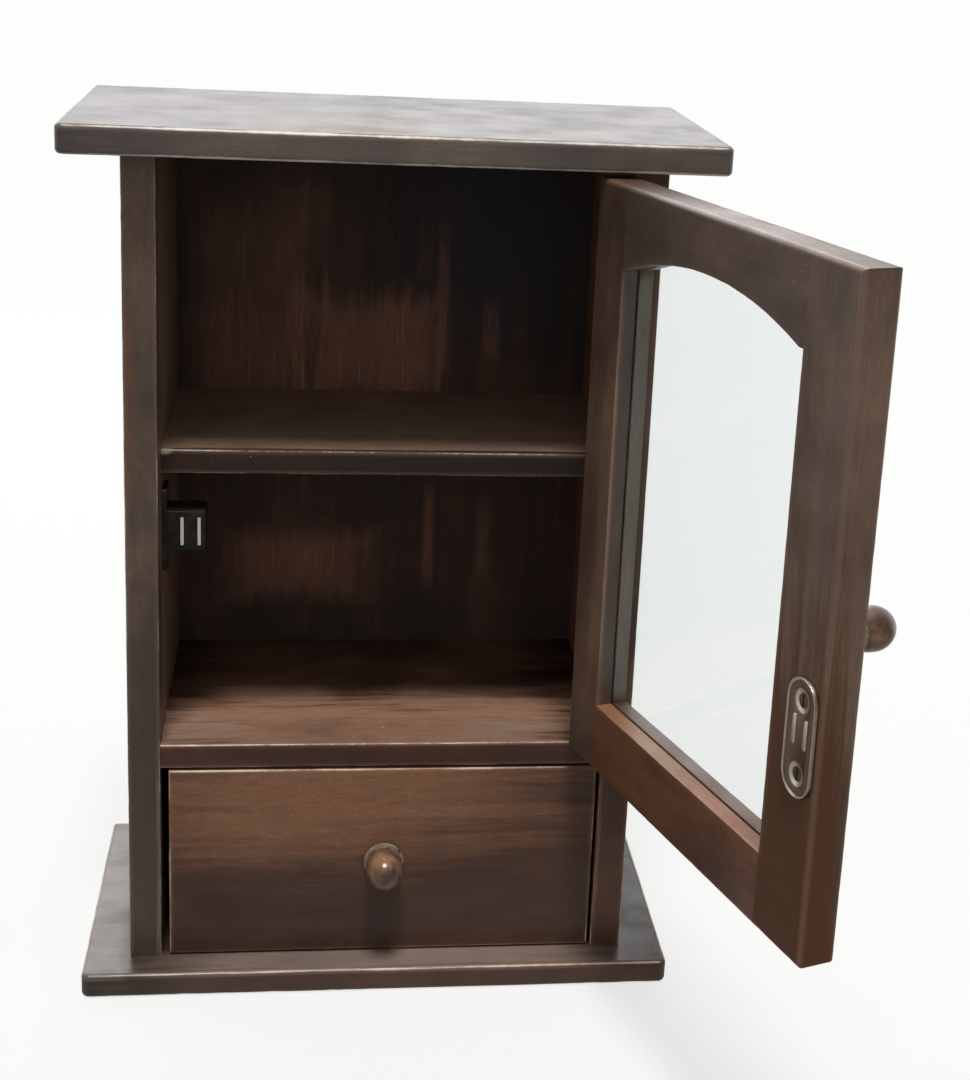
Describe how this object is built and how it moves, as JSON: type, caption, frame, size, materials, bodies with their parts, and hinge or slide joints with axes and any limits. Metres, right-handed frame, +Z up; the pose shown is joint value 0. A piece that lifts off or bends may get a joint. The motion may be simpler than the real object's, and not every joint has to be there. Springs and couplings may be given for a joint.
{
  "type": "tabletop cabinet",
  "caption": "Small dark-stained wooden tabletop cabinet with an arched glazed door, an inner shelf, a magnetic catch and a drawer below.",
  "frame": {"origin": "centre of the base board's underside", "axes": "+Z up, -Y towards the front of the cabinet, +X to the right seen from the front"},
  "size_m": [0.2737, 0.283, 0.346],
  "materials": {
    "board_wood": "dark brown stain under a worn satin varnish",
    "case_wood": "dark brown stain under a worn satin varnish",
    "interior_wood": "thin dark stain, bare reddish wood showing through",
    "door_wood": "dark brown stain under a worn satin varnish",
    "drawer_wood": "dark brown stain, lighter at the top edge",
    "drawer_box_wood": "bare pale wood",
    "knob_wood": "turned, glossy brown varnish",
    "dowel_wood": "bare pale wood",
    "glass": "clear float glass",
    "hinge_brass": "tarnished brass",
    "screw_steel": "dulled steel",
    "strike_nickel": "aged nickel plate",
    "pole_steel": "bright worn steel",
    "magnet": "dark grey ceramic magnet",
    "catch_plastic": "dark brown plastic"
  },
  "bodies": {
    "case": {"base_board": "board_wood", "top_board": "board_wood", "left_side_panel": "case_wood", "right_side_panel": "case_wood", "divider_board": "case_wood", "middle_shelf": "interior_wood", "back_panel": "interior_wood", "base_screws": "screw_steel", "top_dowels": "dowel_wood", "divider_dowels": "dowel_wood", "shelf_dowels": "dowel_wood", "back_brads": "screw_steel", "upper_hinge_frame_leaf": "hinge_brass", "lower_hinge_frame_leaf": "hinge_brass", "upper_hinge_pin": "hinge_brass", "lower_hinge_pin": "hinge_brass", "hinge_frame_screws": "screw_steel", "catch_body": "catch_plastic", "catch_magnet": "magnet", "catch_pole_plates": "pole_steel", "catch_screws": "screw_steel"},
    "door": {"door_hinge_stile": "door_wood", "door_free_stile": "door_wood", "door_top_rail": "door_wood", "door_bottom_rail": "door_wood", "door_glass": "glass", "door_dowels": "dowel_wood", "upper_hinge_door_leaf": "hinge_brass", "lower_hinge_door_leaf": "hinge_brass", "hinge_door_screws": "screw_steel", "strike_plate": "strike_nickel", "strike_screws": "screw_steel", "door_knob": "knob_wood"},
    "drawer": {"drawer_front": "drawer_wood", "drawer_left_side": "drawer_box_wood", "drawer_right_side": "drawer_box_wood", "drawer_back": "drawer_box_wood", "drawer_bottom": "drawer_box_wood", "drawer_brads": "screw_steel", "drawer_knob": "knob_wood"}
  },
  "joints": [
    {"name": "door_hinge", "type": "hinge", "parent": "case", "child": "door", "pos_m": [0.087, -0.0506, 0.219], "axis": [0, 0, 1], "range_deg": [-108, 72]},
    {"name": "drawer_slide", "type": "slide", "parent": "case", "child": "drawer", "axis": [0, -1, 0], "range_m": [0, 0.08]}
  ]
}
